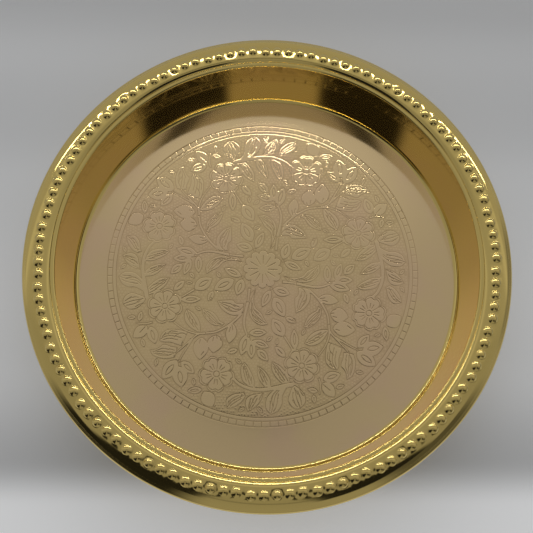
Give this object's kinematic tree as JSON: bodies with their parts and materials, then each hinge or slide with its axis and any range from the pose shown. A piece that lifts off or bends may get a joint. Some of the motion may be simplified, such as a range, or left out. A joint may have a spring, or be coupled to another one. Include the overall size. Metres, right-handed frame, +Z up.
{
  "type": "thali plate",
  "caption": "Round pressed brass thali plate with a deep flat-floored well, a beaded rim and a wired rolled edge.",
  "frame": {"origin": "centre of the flat underside, where the plate rests on a table", "axes": "+Z up out of the well; -Y is the side nearest the viewer in the picture; +X to the viewer's right"},
  "size_m": [0.254, 0.254, 0.0378],
  "materials": {
    "brass_sheet": "spun, engraved, polished and lacquered",
    "steel_wire": "drawn wire, unpolished"
  },
  "bodies": {
    "root": {"plate_sheet": "brass_sheet", "rim_wire": "steel_wire"}
  },
  "joints": []
}
